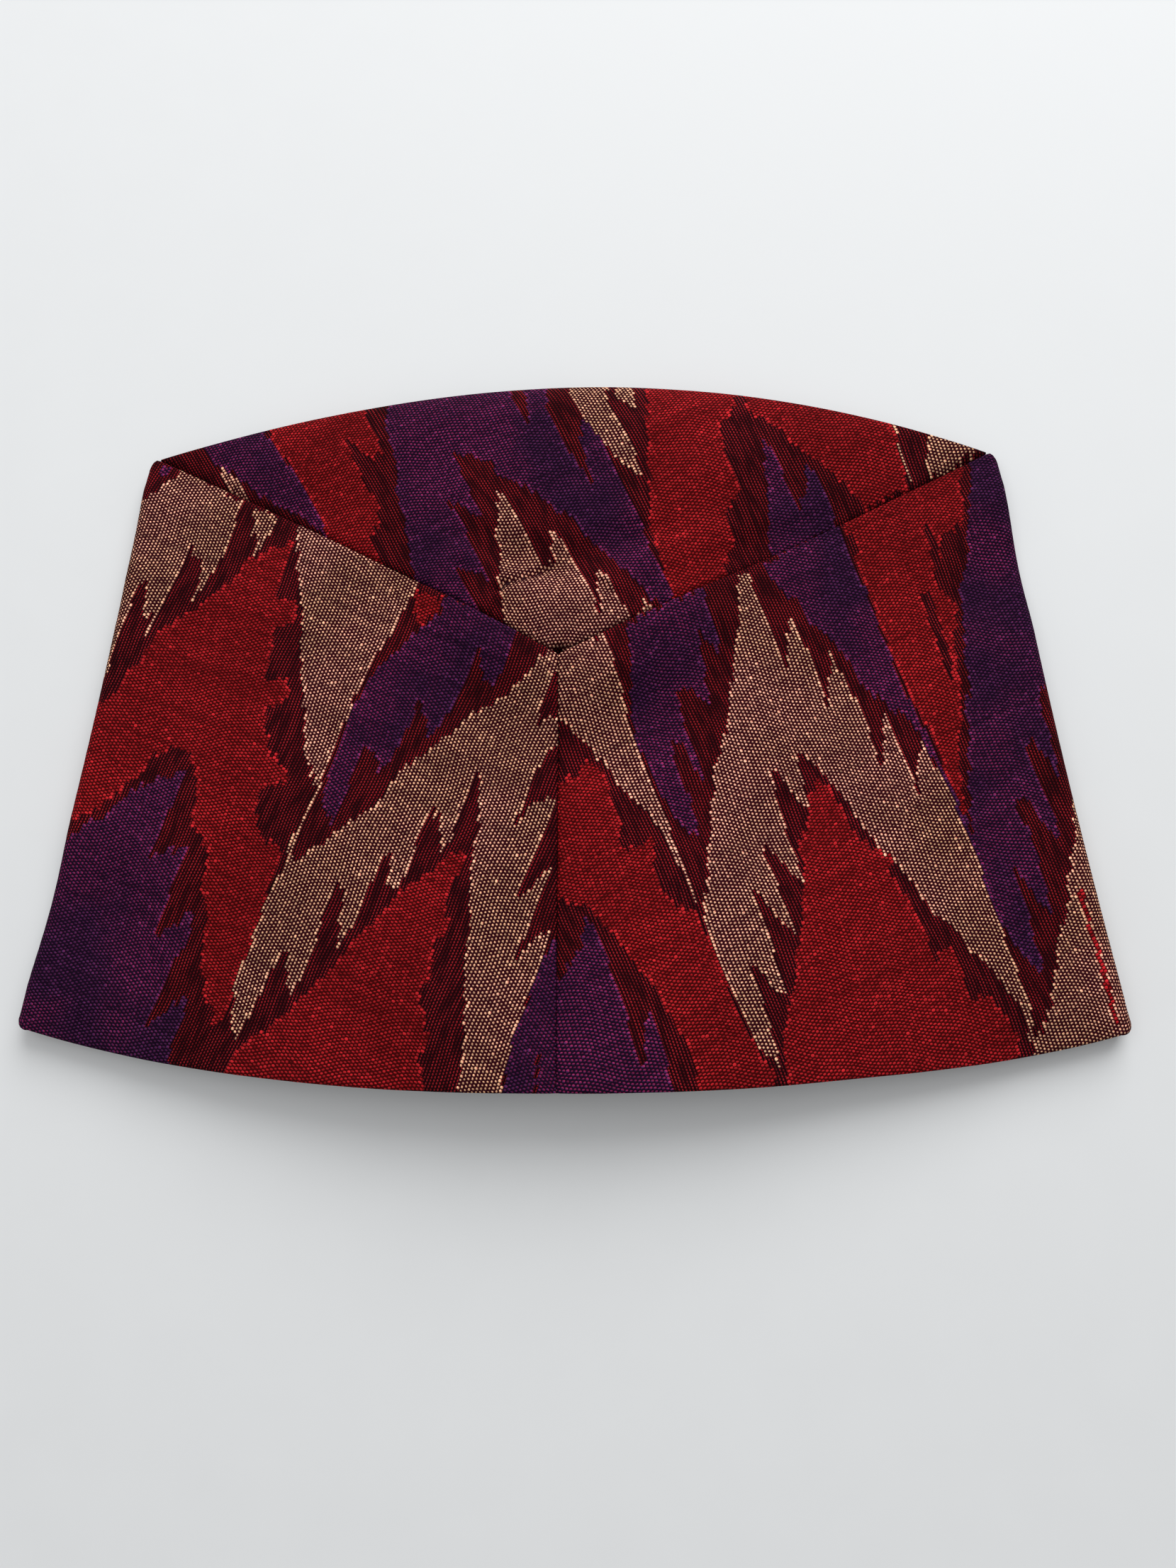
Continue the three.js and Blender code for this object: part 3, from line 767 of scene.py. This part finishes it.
def border(bm, ends):
    """Border points of a trimmed lattice in order, with how far round each lies, from 0 to 4."""
    found = np.array([vert.index for vert in bm.verts if vert.is_boundary])
    points = np.array([bm.verts[i].co[:2] for i in found])
    u = np.clip((points[:, 0] - ends[0]) / (ends[1] - ends[0]), 0, 1)
    v = np.clip((points[:, 1] - ends[2]) / (ends[3] - ends[2]), 0, 1)
    away = np.stack([v, 1 - u, 1 - v, u], 1)
    trips = np.stack([u, 1 + v, 3 - u, 4 - v], 1)
    trips = np.take_along_axis(trips, away.argmin(1)[:, None], 1)[:, 0] % 4
    order = np.argsort(trips)
    return found[order], trips[order]


def hem_strip(outer, inner):
    """Triangles that close the wall between the borders of its two faces."""
    a, b = ([*points, points[0]] for points, _ in (outer, inner))
    trip_a, trip_b = ([*trips, 4, 5] for _, trips in (outer, inner))
    faces, i, j = [], 0, 0
    while i < len(a) - 1 or j < len(b) - 1:
        ahead = i < len(a) - 1 and (trip_a[i + 1] <= trip_b[j + 1] or j == len(b) - 1)
        faces.append((a[i], b[j], a[i + 1] if ahead else b[j + 1]))
        i, j = (i + 1, j) if ahead else (i, j + 1)
    return faces


def rounded(cut, u, v):
    """Depth of the outer face under its flat level, where the wall's rims turn over."""
    width, height = cut.spans(u, v)
    gone = np.zeros_like(u)
    distances = ((u - cut.start) * width, (cut.end - u) * width, v * height, (1 - v) * height)
    for (rim, deep), away in zip(cut.rims, distances):
        if rim:
            share = np.clip(1 - away / rim, 0, 1)
            gone = np.maximum(gone, deep * (1 - np.sqrt(1 - share**2)))
    return gone


def cloth_wall(name, cut, materials, cloth):
    """One cut of cloth as a closed wall with an outer face of one cell for each yarn dot."""
    points, faces, borders, many = [], [], [], 0
    for step, inset, rim_lines in ((1, 0, RIM_LINES), (INNER_CELL, 1, ())):
        bm, ends = trimmed(cut, step, inset, rim_lines)
        found, trips = border(bm, ends)
        borders.append((found + many, trips))
        faces.append([[vert.index + many for vert in face.verts] for face in bm.faces])
        points.append(np.array([vert.co[:2] for vert in bm.verts]))
        many += len(points[-1])
        bm.free()
    outer, inner = points
    faces.append(hem_strip(*borders))
    u, v = np.concatenate(points).T
    depth = np.concatenate([rounded(cut, *outer.T), np.full(len(inner), cut.wall)])
    x, y, z = cut.place(u, v, depth)
    mesh = bpy.data.meshes.new(name)
    mesh.from_pydata(np.stack([x, y + corner_line(cut.s), z], 1).tolist(), [], sum(faces, []))
    counts = [len(part) for part in faces]
    tell_yarns(mesh, cut, u, v, counts, cloth)
    mesh.polygons.foreach_set("material_index", np.repeat([0, 1, 0], counts).tolist())
    mesh.polygons.foreach_set("use_smooth", [True] * sum(counts))
    bm = bmesh.new()
    bm.from_mesh(mesh)
    bmesh.ops.recalc_face_normals(bm, faces=bm.faces)
    bm.to_mesh(mesh)
    bm.free()
    for material in materials:
        mesh.materials.append(material)
    obj = bpy.data.objects.new(name, mesh)
    bpy.context.collection.objects.link(obj)
    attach(obj, "root")
    flat = np.stack(cut.flat(*outer[borders[0][0]].T), 1)
    return obj


def tell_yarns(mesh, cut, u, v, counts, cloth):
    """Gives each face its yarn and tone, and each corner its place in the weave."""
    column, row = cut.weave.count(*cut.flat(u, v))
    corners = np.zeros(len(mesh.loops), int)
    mesh.loops.foreach_get("vertex_index", corners)
    sides = np.zeros(len(mesh.polygons), int)
    mesh.polygons.foreach_get("loop_total", sides)
    places = np.stack([column, row], 1)[corners]
    mesh.uv_layers.new(name=WEAVE_MAP).data.foreach_set("uv", places.ravel())
    first = np.concatenate([[0], np.cumsum(sides)[:-1]])
    centre = np.add.reduceat(places, first) / sides[:, None]
    i = np.round(centre[:, 0])
    j = np.round(centre[:, 1] - centre[:, 0] / 2)
    cells, cell = np.unique(np.stack([i, j], 1), axis=0, return_inverse=True)
    cell = cell.reshape(-1)
    count = cut, cells[:, 0], cells[:, 1] + cells[:, 0] / 2, cloth.step_rows
    yarn = yarn_at(*count)[cell]
    yarn[counts[0]:] = 0
    rng = np.random.default_rng(SEED + cut.salt)
    tone, luck = rng.normal(*YARN_TONE, len(cells))[cell], rng.random(len(cells))[cell]
    knot = luck < np.where(ends_of_floats(*count)[cell], *KNOT_CHANCE)
    pick = rng.normal(*PICK_TONE, PICK_TONES)[np.floor(j + i / 2).astype(int) % PICK_TONES]
    for label, values in (("inlay", [yarn == 1, yarn == 2, yarn == 3]),
                          ("thread", [np.clip(tone, 0, 1), knot, np.clip(pick, 0, 1)])):
        layer = mesh.attributes.new(label, "FLOAT_VECTOR", "FACE")
        layer.data.foreach_set("vector", np.stack(values, 1).astype(np.float32).ravel())


class Signal:
    """What a shader node puts out, with arithmetic that adds Math nodes."""

    def __init__(self, graph, socket):
        self.graph, self.socket = graph, socket

    def __add__(self, other):
        return self.graph.math("ADD", self, other)

    def __sub__(self, other):
        return self.graph.math("SUBTRACT", self, other)

    def __rsub__(self, other):
        return self.graph.math("SUBTRACT", other, self)

    def __mul__(self, other):
        return self.graph.math("MULTIPLY", self, other)

    def __truediv__(self, other):
        return self.graph.math("DIVIDE", self, other)

    __radd__, __rmul__ = __add__, __mul__

    def ramp(self, low, high, start=0.0, end=1.0):
        """A soft step from start at low to end at high."""
        return self.graph.node("MapRange", {"Value": self, "From Min": low, "From Max": high,
                                            "To Min": start, "To Max": end},
                               interpolation_type="SMOOTHSTEP")


class Graph:
    """Short calls for making nodes in one tree and joining them."""

    def __init__(self, tree):
        self.tree = tree

    def put(self, socket, value):
        if isinstance(value, Signal):
            self.tree.links.new(value.socket, socket)
        else:
            socket.default_value = value

    def outputs(self, kind, inputs=None, **settings):
        """All that a new node puts out, by name."""
        made = self.tree.nodes.new("ShaderNode" + kind)
        for key, value in settings.items():
            setattr(made, key, value)
        for key, value in (inputs or {}).items():
            self.put(made.inputs[key], value)
        return {socket.name: Signal(self, socket) for socket in made.outputs}

    def node(self, kind, inputs=None, **settings):
        """The first thing that a new node puts out."""
        return list(self.outputs(kind, inputs, **settings).values())[0]

    def math(self, operation, *values, clamp=False):
        return self.node("Math", dict(enumerate(values)), operation=operation, use_clamp=clamp)

    def vector(self, operation, *values):
        return self.node("VectorMath", dict(enumerate(values)), operation=operation)

    def blend(self, share, a, b, way="MIX"):
        """Colour a turned into colour b by a share, or joined with it in another way."""
        made = self.tree.nodes.new("ShaderNodeMix")
        made.data_type, made.blend_type = "RGBA", way
        for index, value in ((0, share), (6, a), (7, b)):
            self.put(made.inputs[index],
                     value if isinstance(value, (Signal, float)) else (*value, 1))
        return Signal(self, made.outputs[2])

    def shade(self, tint, light):
        """A colour made darker or lighter."""
        grey = self.node("CombineXYZ", {"X": light, "Y": light, "Z": light})
        return self.blend(1.0, tint, grey, "MULTIPLY")

    def group(self, name, builder, inputs):
        """What a shared group puts out, by name."""
        tree = bpy.data.node_groups.get(name) or builder(name)
        return self.outputs("Group", inputs, node_tree=tree)


def new_group(name, inputs, outputs):
    """An empty shader group with named sockets, as a graph and what comes into it, by name."""
    tree = bpy.data.node_groups.new(name, "ShaderNodeTree")
    for way, sockets in (("INPUT", inputs), ("OUTPUT", outputs)):
        for label in sockets:
            kind = "Vector" if label == "Places" else "Float"
            tree.interface.new_socket(label, in_out=way, socket_type="NodeSocket" + kind)
    g = Graph(tree)
    return g, {socket.name: Signal(g, socket) for socket in tree.nodes.new("NodeGroupInput").outputs}


def finish_group(g, values):
    made = g.tree.nodes.new("NodeGroupOutput")
    for label, value in values.items():
        g.put(made.inputs[label], value)
    return g.tree


def yarn_dots(name):
    """Group: yarn dots in a brick pattern, each an oval dome that may be ragged at its rim."""
    g, given = new_group(name, ("Places", "Density", "Dot width", "Dot length", "Softness",
                                "Raggedness"), ("Mask", "Dome", "Slant"))
    scaled = g.node("VectorMath", {0: given["Places"], "Scale": given["Density"]},
                    operation="SCALE")
    noise = g.outputs("TexNoise", {"Vector": scaled, "Scale": 2.3, "Detail": 2.0})["Color"]
    spread = g.node("CombineXYZ", {"X": given["Raggedness"], "Y": given["Raggedness"]})
    pushed = g.vector("MULTIPLY_ADD", g.vector("SUBTRACT", noise, (0.5, 0.5, 0.5)), spread, scaled)
    exact, place = (g.outputs("SeparateXYZ", {"Vector": at}) for at in (scaled, pushed))
    column = g.math("ROUND", exact["X"])
    row = g.math("ROUND", exact["Y"] - exact["X"] * 0.5) + column * 0.5
    across, along = place["X"] - column, place["Y"] - row
    wide, tall = (g.math("POWER", g.math("ABSOLUTE", away / given[size]), 2.4)
                  for away, size in ((across, "Dot width"), (along, "Dot length")))
    away = wide + tall
    return finish_group(g, {
        "Mask": away.ramp(1.0, given["Softness"] + 1.0, 1.0, 0.0),
        "Dome": g.math("SQRT", g.math("SUBTRACT", 1.0, away, clamp=True)),
        "Slant": across + along * 0.8})


def yarn_fibre(name):
    """Group: the fine twisted fibres of the yarns, and slow fading over the cloth."""
    g, given = new_group(name, ("Places", "Fineness"), ("Fibre", "Fading"))
    stretch = g.node("CombineXYZ", {"X": given["Fineness"] * 0.28, "Y": given["Fineness"]})
    drawn = g.vector("MULTIPLY", given["Places"], stretch)
    place = g.outputs("TexCoord")["Object"]
    return finish_group(g, {
        "Fibre": g.node("TexNoise", {"Vector": drawn, "Scale": 1.0, "Detail": 3.0,
                                     "Roughness": 0.65}),
        "Fading": g.node("TexNoise", {"Vector": place, "Scale": 38.0, "Detail": 4.0})})


def new_material(name):
    """An empty material, as itself, its graph and the inputs of its shader."""
    material = bpy.data.materials.get(name) or bpy.data.materials.new(name)
    material.use_nodes = True
    tree = material.node_tree
    tree.nodes.clear()
    shader = tree.nodes.new("ShaderNodeBsdfPrincipled")
    out = tree.nodes.new("ShaderNodeOutputMaterial")
    tree.links.new(shader.outputs[0], out.inputs["Surface"])
    return material, Graph(tree), shader.inputs


def parts(g, attribute):
    """The three numbers that each face carries under one name."""
    vector = g.outputs("Attribute", attribute_name=attribute)["Vector"]
    return g.outputs("SeparateXYZ", {"Vector": vector}).values()


def darker(tint, share):
    return tuple(share * part for part in tint)


def finish_cloth(g, skin, tint, roughness, height, relief):
    """Joins a cloth's colour, roughness and height to its shader."""
    g.put(skin["Base Color"], tint)
    g.put(skin["Roughness"], roughness)
    g.put(skin["Normal"], g.node("Bump", {"Height": height, "Distance": relief, "Strength": 1.0}))


def dhaka_cloth(cloth):
    """Dotted inlay yarns on a near-black ground that shows small red picks."""
    material, g, skin = new_material("Dhaka cloth")
    places = g.node("UVMap", uv_map=WEAVE_MAP)
    is_red, is_beige, is_purple = parts(g, "inlay")
    tone, knot, pick = parts(g, "thread")
    covered = g.math("ADD", is_red + is_beige, is_purple, clamp=True)
    fibre, fading = g.group("Yarn fibre", yarn_fibre,
                            {"Places": places, "Fineness": 14.0}).values()

    # Beige dots are round and stand apart, and red and purple ones are wide and close.
    chance, other_chance = (g.math("FRACT", tone * many) for many in (23.7, 57.1))
    wide = (1.0 - is_beige) * 0.125 + 0.265 + chance * 0.09 + knot * 0.11
    tall = other_chance * 0.15 + 0.23 + knot * 0.11
    dots = g.group("Yarn dots", yarn_dots,
                   {"Places": places, "Dot width": wide, "Dot length": tall, **INLAY_DOTS})
    picks = g.group("Yarn dots", yarn_dots, {"Places": places, **PICK_DOTS})

    # Two strands twist in the purple yarn, and one side of each beige dot is painted in a darker
    # reddish colour as painted shade.
    strand = (dots["Slant"] + (fibre - 0.5) * 0.9).ramp(-0.2, 0.2)
    strand = strand * fading.ramp(0.36, 0.6, 0.3, 1.15)
    dyed = g.blend(fading.ramp(0.4, 0.65), cloth.beige, cloth.rosy)
    beige = g.blend((fibre * 0.5 - dots["Slant"]).ramp(-0.12, 0.2), cloth.beige_painted_shade, dyed)
    yarn = g.blend(is_beige, cloth.red, beige)
    yarn = g.blend(is_purple, yarn, g.blend(strand, cloth.violet, cloth.magenta))
    # The yarns', picks' and knots' own tones, then painted shade: each dot made darker towards its
    # rim, as its rounded top would be shaded.
    light = tone * 0.7 + 0.26 + pick * 0.55 + knot * 0.3
    light = light * fibre.ramp(0.3, 0.7, 0.7, 1.25) * dots["Dome"].ramp(0.0, 0.8, 0.5, 1.05)

    # The ground's red picks fade in and out along the warp, and leave some of it almost black.
    patch = g.node("TexNoise", {"Vector": g.vector("MULTIPLY", places, (0.5, 0.11, 1.0)),
                                "Scale": 1.0, "Detail": 2.0})
    shown = picks["Mask"] * patch.ramp(0.34, 0.6, 0.2, 0.8) * fibre.ramp(0.25, 0.6, 0.6, 1.1)
    between = g.blend(is_beige, darker(cloth.red, 0.11), cloth.gap)
    between = g.blend(is_purple, between, darker(cloth.violet, 0.15))
    under = g.blend(covered, g.blend(shown, cloth.ground, cloth.ground_dot), between)
    tint = g.blend(dots["Mask"] * covered, under, g.shade(yarn, light))
    height = dots["Dome"] * covered + picks["Dome"] * (1.0 - covered) * 0.4 + fibre * 0.3
    finish_cloth(g, skin, g.shade(tint, fading.ramp(0.3, 0.7, 0.86, 1.12)),
                 fibre.ramp(0.2, 0.8, 0.95, 0.78), height, cloth.relief)
    skin["Specular IOR Level"].default_value = 0.03
    return material


def reverse_cloth(cloth):
    """Reverse face of the weave, where the ground yarns hide the inlay."""
    material, g, skin = new_material("Reverse of the cloth")
    places = g.node("UVMap", uv_map=WEAVE_MAP)
    dots = g.group("Yarn dots", yarn_dots, {"Places": places, **REVERSE_DOTS})
    fibre, fading = g.group("Yarn fibre", yarn_fibre,
                            {"Places": places, "Fineness": 12.0}).values()
    base = g.blend(dots["Mask"], darker(cloth.reverse, 0.35), cloth.reverse)
    light = (fibre * (fading + 0.5)).ramp(0.3, 0.7, 0.7, 1.3)
    finish_cloth(g, skin, g.shade(base, light), fibre.ramp(0.2, 0.8, 0.95, 0.82),
                 dots["Dome"] * 0.6 + fibre * 0.3, cloth.relief)
    skin["Specular IOR Level"].default_value = 0.05
    return material


def pale_floor(stage):
    """Smooth pale floor with a faint grain."""
    material, g, skin = new_material("Pale floor")
    place = g.outputs("TexCoord")["Object"]
    grain = g.node("TexNoise", {"Vector": place, "Scale": 60.0, "Detail": 3.0})
    g.put(skin["Base Color"], g.blend(grain, darker(stage.floor, 0.97), stage.floor))
    g.put(skin["Roughness"], grain.ramp(0.2, 0.8, 0.8, 0.9))
    return material


class TopiOperator(bpy.types.Operator):
    """Shared start of the cap's operators."""

    bl_options = {"REGISTER", "UNDO"}

    def begin(self, context):
        scene = context.scene
        cloth = scene.topi_cloth
        return scene.topi_sizes, cloth, (dhaka_cloth(cloth), reverse_cloth(cloth))


class TOPI_OT_front(TopiOperator):
    """Build the two halves of the band's front, which meet in the seam"""

    bl_idname = "topi.front"
    bl_label = "Band front"

    def execute(self, context):
        sizes, cloth, materials = self.begin(context)
        for side, name in ((-1, "band_front_left"), (1, "band_front_right")):
            obj = cloth_wall(name, Front(sizes, cloth, side), materials, cloth)
            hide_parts("band")
        return {"FINISHED"}


class TOPI_OT_back(TopiOperator):
    """Build the band's tall back, which the cap lies on"""

    bl_idname = "topi.back"
    bl_label = "Band back"

    def execute(self, context):
        sizes, cloth, materials = self.begin(context)
        obj = cloth_wall("band_back", Back(sizes, cloth), materials, cloth)
        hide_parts("band")
        return {"FINISHED"}


class TOPI_OT_crown(TopiOperator):
    """Build the crown sheet between the notch and the arch"""

    bl_idname = "topi.crown"
    bl_label = "Crown"

    def execute(self, context):
        sizes, cloth, materials = self.begin(context)
        obj = cloth_wall("crown_sheet", Crown(sizes, cloth), materials, cloth)
        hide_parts("crown")
        return {"FINISHED"}


def soft_light(name, watts, size, place):
    """A round light that points at the middle of the cap."""
    data = bpy.data.lights.new(name, "AREA")
    data.energy, data.shape, data.size = watts, "DISK", size
    obj = bpy.data.objects.new(name, data)
    obj.location = place
    obj.rotation_euler = (-Vector(place)).to_track_quat("-Z", "Y").to_euler()
    bpy.context.collection.objects.link(obj)


def camera_matrix(stage, lift):
    """Place of the camera, and its rotation from its tilt, turn and roll."""
    tilt, turn, roll = stage.camera_tilt, stage.camera_turn, stage.camera_roll
    view = Vector((math.sin(turn) * math.cos(tilt), math.sin(tilt),
                   -math.cos(tilt) * math.cos(turn))).normalized()
    right = view.cross(Vector((0, math.cos(tilt), math.sin(tilt)))).normalized()
    rolled = right * math.cos(roll) + right.cross(view) * math.sin(roll)
    rotation = Matrix((rolled, rolled.cross(view), -view)).transposed()
    place = Vector(stage.camera_place) + Vector((0, lift, 0))
    return Matrix.Translation(place) @ rotation.to_4x4()


class TOPI_OT_stage(TopiOperator):
    """Set the floor, the soft lights and the camera"""

    bl_idname = "topi.stage"
    bl_label = "Stage"

    def execute(self, context):
        scene, stage = context.scene, context.scene.topi_stage
        mesh = bpy.data.meshes.new("floor")
        corners = [(FLOOR_REACH * x, FLOOR_REACH * y, 0)
                   for x, y in ((-1, -1), (1, -1), (1, 1), (-1, 1))]
        mesh.from_pydata(corners, [], [(0, 1, 2, 3)])
        mesh.materials.append(pale_floor(stage))
        floor = bpy.data.objects.new("floor", mesh)
        context.collection.objects.link(floor)
        soft_light("key", stage.key, *KEY_LIGHT)
        soft_light("fill", stage.fill, *FILL_LIGHT)
        world = bpy.data.worlds.new("Even light")
        world.use_nodes = True
        sky = world.node_tree.nodes["Background"].inputs
        sky["Color"].default_value = (1, 1, 1, 1)
        sky["Strength"].default_value = stage.sky
        scene.world = world
        scene.view_settings.view_transform = "Standard"
        data = bpy.data.cameras.new("camera")
        data.lens, data.sensor_width, data.clip_start = stage.focal, SENSOR_WIDTH, 0.01
        camera = bpy.data.objects.new("camera", data)
        camera.matrix_world = camera_matrix(stage, corner_line(scene.topi_sizes))
        context.collection.objects.link(camera)
        scene.camera = camera
        return {"FINISHED"}


class TOPI_PT_panel(bpy.types.Panel):
    """The cap's operators and sizes."""

    bl_idname = "TOPI_PT_panel"
    bl_label = "Topi"
    bl_space_type = "VIEW_3D"
    bl_region_type = "UI"
    bl_category = "Topi"

    def draw(self, context):
        for operator in OPERATORS:
            self.layout.operator(operator.bl_idname)
        for name in SETTINGS:
            settings, box = getattr(context.scene, name), self.layout.box()
            for label in settings.__annotations__:
                box.prop(settings, label)


SETTINGS = {"topi_sizes": TopiSizes, "topi_cloth": TopiCloth, "topi_stage": TopiStage}
OPERATORS = (TOPI_OT_stage, TOPI_OT_back, TOPI_OT_front, TOPI_OT_crown)
CLASSES = (*SETTINGS.values(), *OPERATORS, TOPI_PT_panel)


def register():
    for made in CLASSES:
        bpy.utils.register_class(made)
    for name, settings in SETTINGS.items():
        setattr(bpy.types.Scene, name, PointerProperty(type=settings))


def unregister():
    for name in SETTINGS:
        delattr(bpy.types.Scene, name)
    for made in reversed(CLASSES):
        bpy.utils.unregister_class(made)


def main():
    register()
    bpy.ops.topi.stage()
    bpy.ops.topi.back()
    bpy.ops.topi.front()
    bpy.ops.topi.crown()


if __name__ == "__main__":
    main()
